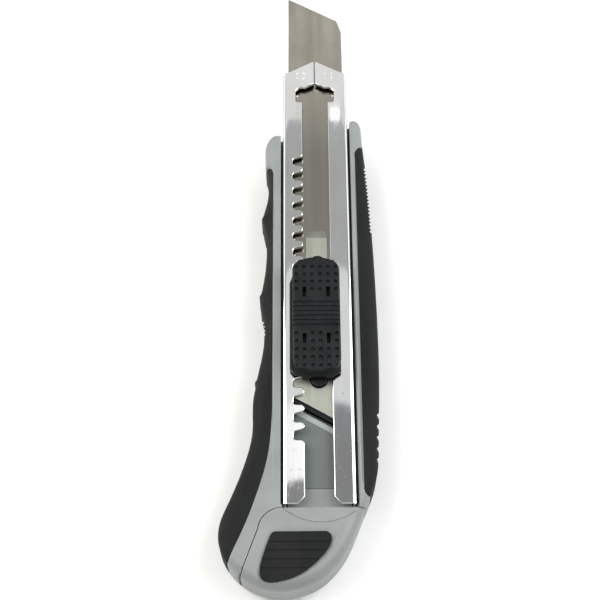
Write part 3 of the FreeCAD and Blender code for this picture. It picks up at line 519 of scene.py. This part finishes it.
def chromed(place):
    strokes = noise(place, (1400, 18, 1400), 3.0)
    smears = noise(place, (120, 45, 120), 4.0)
    specks = noise(place, (900, 900, 900), 1.0)
    worn = between(smears, 0.52, 0.75)
    return {
        "Base Color": blend(between(smears, 0.35, 0.65), CHROME, CHROME_WARM),
        "Roughness": (
            between(strokes, 0.3, 0.7, 0.03, 0.06) + 0.06 * worn
            + between(specks, 0.66, 0.74, 0.0, 0.08)
        ),
        "Normal": relief(strokes, 0.0012 * MM),
    }


chrome = finish("chromed_steel", chromed, Metallic=1.0)


def box(name, low, high):
    """A block between two corners, in mm."""
    size = [top - bottom for bottom, top in zip(low, high)]
    middle = [(top + bottom) / 2 * MM for bottom, top in zip(low, high)]
    bpy.ops.object.select_all(action="DESELECT")
    bpy.ops.mesh.primitive_cube_add(size=MM, location=middle, scale=size)
    block = bpy.context.object
    block.name = name
    bpy.ops.object.transform_apply(location=True, rotation=True, scale=True)
    return block


def prism(name, corners, low, high):
    """A flat outline, a circle's corners drawn out to its points, pulled up into a solid."""
    bpy.ops.object.select_all(action="DESELECT")
    bpy.ops.mesh.primitive_circle_add(vertices=len(corners), radius=MM, fill_type="NGON")
    solid = bpy.context.object
    solid.name = name
    for vertex, (x, y) in zip(solid.data.vertices, corners):
        vertex.co = (x * MM, y * MM, low * MM)
    bpy.ops.object.mode_set(mode="EDIT")
    bpy.ops.mesh.select_all(action="SELECT")
    bpy.ops.mesh.extrude_region_move(TRANSFORM_OT_translate={"value": (0, 0, (high - low) * MM)})
    bpy.ops.mesh.select_all(action="SELECT")
    bpy.ops.mesh.normals_make_consistent(inside=False)
    bpy.ops.object.mode_set(mode="OBJECT")
    return solid


def round_edges(piece, radius, segments, wanted):
    """Rounds the edges that a test on their two ends, in mm, picks out."""
    bpy.ops.object.select_all(action="DESELECT")
    piece.select_set(True)
    bpy.context.view_layer.objects.active = piece
    bpy.ops.object.mode_set(mode="EDIT")
    bpy.ops.mesh.select_mode(type="EDGE")
    bpy.ops.mesh.select_all(action="DESELECT")
    bpy.ops.object.mode_set(mode="OBJECT")
    corners = [vertex.co / MM for vertex in piece.data.vertices]
    for edge in piece.data.edges:
        edge.select = wanted(corners[edge.vertices[0]], corners[edge.vertices[1]])
    bpy.ops.object.mode_set(mode="EDIT")
    bpy.ops.mesh.bevel(offset=radius * MM, segments=segments, affect="EDGES")
    bpy.ops.object.mode_set(mode="OBJECT")


def upright(a, b):
    """Whether an edge stands straight up."""
    return abs(a.x - b.x) < 0.01 and abs(a.y - b.y) < 0.01


def copies(piece, count, step):
    """Repeats a piece along the knife, so many mm apart."""
    change(
        piece, "ARRAY", count=count, use_relative_offset=False, use_constant_offset=True,
        constant_offset_displace=(0, step * MM, 0),
    )


low, high = (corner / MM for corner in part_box("blade_channel"))
nose = high.y
lip = high.z - SHEET
channel = prism("blade_channel_steel", [
    (low.x, low.y),
    (high.x, low.y),
    (high.x, nose - CORNER_DROP),
    (NOSE_HALF, nose - NOSE_DROP),
    (0, nose),
    (-NOSE_HALF, nose - NOSE_DROP),
    (low.x, nose - CORNER_DROP),
], low.z, high.z)
round_edges(channel, FOLD_FACET, 1, lambda a, b: (
    abs(a.x - b.x) < 0.01 and abs(abs(a.x) - high.x) < 0.01 and min(a.z, b.z) > high.z - 0.01
))
bpy.ops.object.mode_set(mode="EDIT")
bpy.ops.mesh.select_all(action="DESELECT")
bpy.ops.object.mode_set(mode="OBJECT")
for vertex in channel.data.vertices:
    vertex.select = abs(vertex.co.x) > (high.x - 0.1) * MM and vertex.co.z > (low.z + 1) * MM
bpy.ops.object.mode_set(mode="EDIT")
bpy.ops.transform.translate(value=(0, 0, FACET_LIFT * MM))
bpy.ops.object.mode_set(mode="OBJECT")
cut(channel, box(
    "inside", (low.x + WALL, low.y - 5, low.z + SHEET), (high.x - WALL, nose + 5, lip),
))

slot = prism("slot", [
    (-SLOT_HALF, nose - KEY_REAR + 1),
    (-SLOT_HALF, low.y + REAR_CUT * 1.1),
    (-SLOT_HALF - REAR_CUT, low.y),
    (-SLOT_HALF - REAR_CUT, low.y - 1),
    (SLOT_HALF + REAR_CUT, low.y - 1),
    (SLOT_HALF + REAR_CUT, low.y),
    (SLOT_HALF, low.y + REAR_CUT * 1.1),
    (SLOT_HALF, nose - KEY_REAR + 1),
], lip - 1, high.z + 1)
cut(channel, slot)

keyhole = prism("keyhole", [
    (-KEY_HALF, nose - KEY_REAR),
    (KEY_HALF, nose - KEY_REAR),
    (KEY_HALF, nose - KEY_FRONT - 0.9),
    (KEY_HALF - 1.6, nose - KEY_FRONT + 0.1),
    (KEY_HALF - 3.1, nose - KEY_FRONT),
    (0, nose - KEY_PEAK),
    (-KEY_HALF + 3.1, nose - KEY_FRONT),
    (-KEY_HALF + 1.6, nose - KEY_FRONT + 0.1),
    (-KEY_HALF, nose - KEY_FRONT - 0.9),
], lip - 1, high.z + 1)
round_edges(keyhole, KEY_ROUND, 4, lambda a, b: (
    upright(a, b) and abs(a.x) > KEY_HALF - 2 and a.y < nose - KEY_FRONT + 0.05
))
cut(channel, keyhole)
cut(channel, box(
    "split", (-SPLIT_HALF, nose - KEY_PEAK - 1, lip - 1), (SPLIT_HALF, nose + 1, high.z + 1),
))

notch = prism("notch", [
    (-SLOT_HALF - NOTCH_DEPTH, NOTCH_TOP - NOTCH_HEIGHT),
    (-SLOT_HALF + 1, NOTCH_TOP - NOTCH_HEIGHT),
    (-SLOT_HALF + 1, NOTCH_TOP + NOTCH_RISE * (1 + NOTCH_DEPTH) / NOTCH_DEPTH),
    (-SLOT_HALF - NOTCH_DEPTH, NOTCH_TOP),
], lip - 1, high.z + 1)
round_edges(notch, NOTCH_ROUND, 4, lambda a, b: upright(a, b) and a.x < -SLOT_HALF - 1)
copies(notch, NOTCH_COUNT, -NOTCH_PITCH)
cut(channel, notch)


def tooth_corner(a, b, first):
    """An upright edge where one side of a notch meets the slot, in a row that starts at first."""
    if not upright(a, b) or abs(a.x + SLOT_HALF) > 0.02 or a.z < lip - 0.5:
        return False
    steps = (first - a.y) / NOTCH_PITCH
    return abs(steps - round(steps)) < 0.01 and -0.5 < steps < NOTCH_COUNT


round_edges(channel, TOOTH_ROUND, 4, lambda a, b: tooth_corner(a, b, NOTCH_TOP + NOTCH_RISE))
round_edges(channel, TIP_ROUND, 5, lambda a, b: tooth_corner(a, b, NOTCH_TOP - NOTCH_HEIGHT))
round_edges(channel, SPLIT_ROUND, 4, lambda a, b: (
    upright(a, b) and abs(a.x) < 0.3 and a.y > nose - 2 and a.z > lip - 0.5
))
soften(channel, LIP_ROUND, 4)
for x in (-RING_ACROSS, RING_ACROSS):
    bpy.ops.object.select_all(action="DESELECT")
    bpy.ops.mesh.primitive_torus_add(
        location=Vector((x, nose - RING_BACK, high.z)) * MM, major_radius=RING_RADIUS * MM,
        minor_radius=RING_GROOVE * MM, major_segments=32, minor_segments=8,
    )
    cut(channel, bpy.context.object)
smooth(channel)
fit(channel, "handle", chrome, "chromed_steel", "blade_channel")


# ---------------------------------------------------------------------------------- rear guide
# A thin plate of grey nylon at the rear of the channel, which the blade's end slides over,
# painted darker than the shell for the shade that it lies in, with a pale strip along its slanted
# front edge that is a painted highlight. The follower is of the same nylon, with the same painted
# shade.

# Painted shade: the shell's grey plastic, darkened for the shade that the guide lies in.
NYLON_PAINTED_SHADE = (0.100, 0.116, 0.113, 1)
NYLON_PAINTED_SHADE_PALER = (0.125, 0.142, 0.138, 1)
# Painted highlight: a pale grey standing for the light that the guide's bevelled front edge
# catches.
NYLON_PAINTED_HIGHLIGHT = (0.27, 0.30, 0.29, 1)
NYLON_PAINTED_HIGHLIGHT_PALER = (0.33, 0.36, 0.35, 1)
GUIDE_SLOPE = -0.575
GUIDE_FRONT = -38.0
STRIP_WIDE = 1.8
STRIP_SUNK = 0.3
STRIP_PROUD = 0.08
STRIP_ROUND = 0.03


def painted_shade_nylon(place):
    clouds = noise(place, (90, 40, 90), 3.0)
    grain = noise(place, (4200, 4200, 4200))
    return {
        "Base Color": blend(clouds, NYLON_PAINTED_SHADE, NYLON_PAINTED_SHADE_PALER),
        "Roughness": between(clouds, 0.3, 0.7, 0.42, 0.55),
        "Normal": relief(grain, 0.008 * MM),
    }


painted_shade_plastic = finish("painted_shade_nylon", painted_shade_nylon, IOR=1.52)
dress(nodes["rear_guide"], painted_shade_plastic)


def painted_highlight_nylon(place):
    clouds = noise(place, (90, 40, 90), 3.0)
    return {
        "Base Color": blend(clouds, NYLON_PAINTED_HIGHLIGHT, NYLON_PAINTED_HIGHLIGHT_PALER),
        "Roughness": between(clouds, 0.3, 0.7, 0.30, 0.42),
    }


guide_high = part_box("rear_guide")[1] / MM
reach = guide_high.x - 0.1
strip = prism("guide_painted_highlight_strip", [
    (-reach, GUIDE_FRONT - GUIDE_SLOPE * reach - STRIP_WIDE),
    (reach, GUIDE_FRONT + GUIDE_SLOPE * reach - STRIP_WIDE),
    (reach, GUIDE_FRONT + GUIDE_SLOPE * reach),
    (-reach, GUIDE_FRONT - GUIDE_SLOPE * reach),
], guide_high.z - STRIP_SUNK, guide_high.z + STRIP_PROUD)
soften(strip, STRIP_ROUND, 2)
smooth(strip)
fit(strip, "handle", finish("painted_highlight_nylon", painted_highlight_nylon, IOR=1.52), "grey_plastic")
dress(nodes["follower"], painted_shade_plastic)


# ------------------------------------------------------------- blade, its holder and the carriage
# The snap-off blade hooks on a stud that is riveted to a thin steel holder, and the holder lies
# on the black acetal carriage which slides in the channel. Two bent springs press the carriage
# down and its tooth sideways.

PLATE = (0.505, 0.525, 0.450, 1)
PLATE_DULL = (0.425, 0.440, 0.370, 1)
ACETAL = (0.0044, 0.0051, 0.0057, 1)
ACETAL_PALER = (0.0074, 0.0084, 0.0092, 1)
ACETAL_RUBBED = (0.05, 0.053, 0.056, 1)


def rolled_plate(place):
    strokes = noise(place, (500, 30, 500), 3.0)
    film = noise(place, (60, 60, 60), 3.0)
    return {
        "Base Color": blend(between(film, 0.3, 0.7), PLATE, PLATE_DULL),
        "Roughness": between(strokes, 0.3, 0.7, 0.30, 0.42),
        "Normal": relief(strokes, 0.0015 * MM),
    }


def black_acetal(place):
    clouds = noise(place, (160, 160, 160), 4.0)
    grain = noise(place, (4600, 4600, 4600), 2.0)
    rubbed = edges(place, 0.35 * MM) * between(noise(place, (1200, 500, 1200)), 0.4, 0.6)
    moulded = blend(between(clouds, 0.35, 0.65), ACETAL, ACETAL_PALER)
    return {
        "Base Color": blend(rubbed * 0.5, moulded, ACETAL_RUBBED),
        "Roughness": between(clouds, 0.3, 0.7, 0.40, 0.54),
        "Normal": relief(grain, 0.010 * MM),
    }


plate_steel = finish("rolled_plate", rolled_plate, Metallic=1.0)
black_plastic = finish("black_acetal", black_acetal, IOR=1.46, Specular_IOR_Level=0.24)

SLANT = math.tan(math.radians(30))
SPINE_CLIP = (1.5, 4.7)
GRIND = 1.5
EDGE_LEFT = 0.08
SCORE_PITCH = 10.93
SCORE_HALF = 0.14
SCORE_DEEP = 0.05

blade_low, blade_high = (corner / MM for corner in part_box("main_blade"))
drop = (blade_high.x - blade_low.x) * SLANT
blade = prism("snap_off_blade", [
    (blade_low.x, blade_low.y + drop),
    (blade_high.x, blade_low.y),
    (blade_high.x, blade_high.y - drop + SPINE_CLIP[0] * SLANT - SPINE_CLIP[1]),
    (blade_high.x - SPINE_CLIP[0], blade_high.y - drop + SPINE_CLIP[0] * SLANT),
    (blade_low.x, blade_high.y),
], blade_low.z, blade_high.z)
bpy.ops.object.mode_set(mode="EDIT")
bpy.ops.mesh.select_all(action="SELECT")
bpy.ops.mesh.bisect(plane_co=((blade_low.x + GRIND) * MM, 0, 0), plane_no=(1, 0, 0))
bpy.ops.mesh.select_all(action="DESELECT")
bpy.ops.object.mode_set(mode="OBJECT")
for vertex in blade.data.vertices:
    vertex.select = vertex.co.x < (blade_low.x + 0.01) * MM
bpy.ops.object.mode_set(mode="EDIT")
bpy.ops.transform.resize(
    value=(1, 1, EDGE_LEFT), center_override=(0, 0, (blade_low.z + blade_high.z) / 2 * MM),
)
bpy.ops.object.mode_set(mode="OBJECT")
score_count = int((blade_high.y - blade_low.y - drop) / SCORE_PITCH)
for number in range(1, score_count + 1):
    y = blade_high.y - SCORE_PITCH * number
    cut(blade, prism("score", [
        (blade_low.x - 1, y + SLANT - SCORE_HALF),
        (blade_high.x + 1, y - drop - SLANT - SCORE_HALF),
        (blade_high.x + 1, y - drop - SLANT + SCORE_HALF),
        (blade_low.x - 1, y + SLANT + SCORE_HALF),
    ], blade_high.z - SCORE_DEEP, blade_high.z + 1))
smooth(blade)
fit(blade, "carriage", blade_steel, "blade_steel", "main_blade")

TONGUE_HALF = 3.27
TONGUE_REAR = 7.0
TONGUE_RAMP = 2.6
RAMP_DROP = 0.6
PLATE_ROUND = 0.12

holder_low, holder_high = (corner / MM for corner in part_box("blade_holder"))
holder = recast("blade_holder", "holder_plate")
for side in (-1, 1):
    left, right = sorted((side * TONGUE_HALF, side * (holder_high.x + 1)))
    cut(holder, box(
        "waste",
        (left, TONGUE_REAR, holder_low.z - 0.5), (right, holder_high.y + 1, holder_high.z + 0.5),
    ))
bpy.ops.object.mode_set(mode="EDIT")
bpy.ops.mesh.select_all(action="SELECT")
bpy.ops.mesh.bisect(plane_co=(0, (holder_high.y - TONGUE_RAMP) * MM, 0), plane_no=(0, 1, 0))
bpy.ops.mesh.select_all(action="DESELECT")
bpy.ops.object.mode_set(mode="OBJECT")
for vertex in holder.data.vertices:
    at_front = vertex.co.y > (holder_high.y - 0.01) * MM
    vertex.select = at_front and vertex.co.z > (holder_high.z - 0.1) * MM
bpy.ops.object.mode_set(mode="EDIT")
bpy.ops.transform.translate(value=(0, 0, -RAMP_DROP * MM))
bpy.ops.object.mode_set(mode="OBJECT")
soften(holder, PLATE_ROUND, 2)
smooth(holder)
fit(holder, "carriage", plate_steel, "plate_steel", "blade_holder")
dress(nodes["blade_stud"], plate_steel)
dress(nodes["carrier"], black_plastic)
dress(nodes["lock_spring"], spring_steel)
dress(nodes["pressure_spring"], spring_steel)


# --------------------------------------------------------------------------------- thumb slider
# The button that the thumb pushes, moulded in black acetal: a long block with bowed ends on a
# foot that stands out to the left, with ribs across its middle, a grid of dimples at each end
# and four deep slots left by the mould's cores.

BUTTON_MIDDLE = -0.4
BUTTON_HALF = 7.2
BUTTON_FRONT = 12.3
BUTTON_REAR = -25.7
BUTTON_BOW = 2.2
BOW_STEPS = 8
BLOCK_LIFT = 2.9
BLOCK_ROUND = 2.3
TOP_ROUND = 0.75
FOOT_LIFT = 2.75
FOOT_TOP = 20.0
FOOT_REAR = 1.1
FOOT_ROUND = 0.5
COLUMNS = [BUTTON_MIDDLE + 2.4 * (number - 2.5) for number in range(6)]
FRONT_ROWS = [8.7 - 2.5 * number for number in range(4)]
REAR_ROWS = [-13.4 - 2.58 * number for number in range(5)]
SLOTTED = (1, 4)
SLOT_PLACES = (0.3, -15.0)
SLOT_REACH = 2.6
SLOT_ACROSS = 0.6
SLOT_ALONG = 1.7
SLOT_DEPTH = 2.2
DIMPLE_BOTTOM = 0.35
DIMPLE_TOP = 0.95
PEG_LEFT = -0.25
PEG_RIGHT = 0.45
PEG_PLACES = (-20.85, 5.15)
PEG_HALF = 0.85
PEG_LENGTH = 3.2
RIB_FRONT = -3.2
RIB_PITCH = 1.5
RIB_COUNT = 6
RIB_GROOVE = 0.5


def bowed(y, bow, half, middle):
    """Points along an end that bows outwards, from right to left."""
    steps = [1 - 2 * number / BOW_STEPS for number in range(BOW_STEPS + 1)]
    return [(middle + half * step, y - bow * step * step) for step in steps]


button_low, button_high = (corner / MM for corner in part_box("slider_button"))
front = bowed(BUTTON_FRONT, BUTTON_BOW, BUTTON_HALF, BUTTON_MIDDLE)
rear = [(x, BUTTON_FRONT + BUTTON_REAR - y) for x, y in reversed(front)]
button = prism("slider_block", front + rear, button_low.z + BLOCK_LIFT, button_high.z)
round_edges(button, BLOCK_ROUND, 6, lambda a, b: (
    upright(a, b) and abs(a.x - BUTTON_MIDDLE) > BUTTON_HALF - 0.1
))
round_edges(button, TOP_ROUND, 4, lambda a, b: min(a.z, b.z) > button_high.z - 0.1)

foot = prism("slider_foot", [
    (button_low.x, 4.6),
    (button_low.x, -23.6),
    (button_low.x + 1.6, -25.3),
    (-3.5, button_low.y + FOOT_REAR),
    (4.0, button_low.y + FOOT_REAR),
    (button_high.x, -24.3),
    (button_high.x, 9.0),
    (4.0, 11.2),
    (-4.0, 11.2),
    (button_low.x + 0.9, 7.2),
], button_low.z + FOOT_LIFT, FOOT_TOP)
round_edges(foot, FOOT_ROUND, 3, lambda a, b: min(a.z, b.z) > FOOT_TOP - 0.1)
join(button, foot)
for peg_y in PEG_PLACES:
    join(button, box(
        "slider_peg", (PEG_LEFT, peg_y - PEG_HALF, button_low.z),
        (PEG_RIGHT, peg_y + PEG_HALF, button_low.z + PEG_LENGTH),
    ))

for rows in (FRONT_ROWS, REAR_ROWS):
    for y in rows:
        for column, x in enumerate(COLUMNS):
            if column in SLOTTED and any(abs(y - slot_y) < SLOT_REACH for slot_y in SLOT_PLACES):
                continue
            bpy.ops.object.select_all(action="DESELECT")
            bpy.ops.mesh.primitive_cone_add(
                vertices=12, radius1=DIMPLE_BOTTOM * MM, radius2=DIMPLE_TOP * MM, depth=MM,
                location=(x * MM, y * MM, (button_high.z - 0.1) * MM),
            )
            cut(button, bpy.context.object)
for slot_y in SLOT_PLACES:
    for column in SLOTTED:
        x = COLUMNS[column]
        cut(button, box(
            "core", (x - SLOT_ACROSS, slot_y - SLOT_ALONG, button_high.z - SLOT_DEPTH),
            (x + SLOT_ACROSS, slot_y + SLOT_ALONG, button_high.z + 1),
        ))
for number in range(RIB_COUNT):
    place = (0, RIB_FRONT - RIB_PITCH * number, button_high.z + 0.05)
    cut(button, rod(RIB_GROOVE, 30, place, (0, math.pi / 2, 0)))
smooth(button)
fit(button, "button", black_plastic, "black_plastic", "slider_button")


# ------------------------------------------------------------------------- end cap and thumb pad
# The grey end cap draws off backwards to load blades. Its face is stepped down at the front,
# behind a fine groove along an arc, and dished round a black rubber pad that the thumb pushes
# on, grooved across.

CAP_FACE = 17.0
STEP_DEPTH = 0.1
GROOVE_DEPTH = 0.34
GROOVE_OUT = 0.1
GROOVE_IN = 0.25
STEP_RADIUS = 16.5
STEP_CENTRE = (0.4, -52.85)
DISH_DEPTH = 0.5
DISH_FLARE = 1.28
DISH_ROUND = 1.6
CAP_ROUND = 0.06
PAD_MIDDLE = (-7.2, -78.4, 17)
PAD_CORNERS = [
    (-13.6, -71.9),
    (3.4, -71.9),
    (3.0, -75.6),
    (0.2, -79.3),
    (-4.1, -82.9),
    (-8.6, -85.2),
    (-12.0, -86.1),
    (-17.2, -86.1),
    (-16.6, -80.6),
]
PAD_GROOVES = (-74.9, -77.3, -79.8, -82.3)
PAD_GROOVE_RADIUS = 0.28
PAD_GROOVE_HEIGHT = 17.36

cap = recast("end_cap", "cap_moulding")
cut(cap, rod(STEP_RADIUS, 2, (*STEP_CENTRE, CAP_FACE - STEP_DEPTH + 1), sides=160))
groove_place = (*STEP_CENTRE, CAP_FACE - GROOVE_DEPTH + 0.5)
groove = rod(STEP_RADIUS + GROOVE_OUT, 1, groove_place, sides=160)
cut(groove, rod(STEP_RADIUS - GROOVE_IN, 3, (*STEP_CENTRE, CAP_FACE), sides=160))
cut(cap, groove)
dish = prism("dish", PAD_CORNERS, CAP_FACE - DISH_DEPTH, CAP_FACE + 0.1)
round_edges(dish, DISH_ROUND, 5, upright)
bpy.ops.object.mode_set(mode="EDIT")
bpy.ops.mesh.select_mode(type="VERT")
bpy.ops.mesh.select_all(action="DESELECT")
bpy.ops.object.mode_set(mode="OBJECT")
for vertex in dish.data.vertices:
    vertex.select = vertex.co.z > CAP_FACE * MM
bpy.ops.object.mode_set(mode="EDIT")
bpy.ops.transform.resize(
    value=(DISH_FLARE, DISH_FLARE, 1), center_override=Vector(PAD_MIDDLE) * MM,
)
bpy.ops.object.mode_set(mode="OBJECT")
cut(cap, dish)
soften(cap, CAP_ROUND, 2)
smooth(cap)
fit(cap, "cap", grey_plastic, "grey_plastic", "end_cap")

pad = recast("thumb_pad", "cap_thumb_pad")
for y in PAD_GROOVES:
    place = (-8, y, PAD_GROOVE_HEIGHT)
    cut(pad, rod(PAD_GROOVE_RADIUS, 40, place, (0, math.pi / 2, 0), sides=12))
smooth(pad)
fit(pad, "cap", black_rubber, "black_rubber", "thumb_pad")
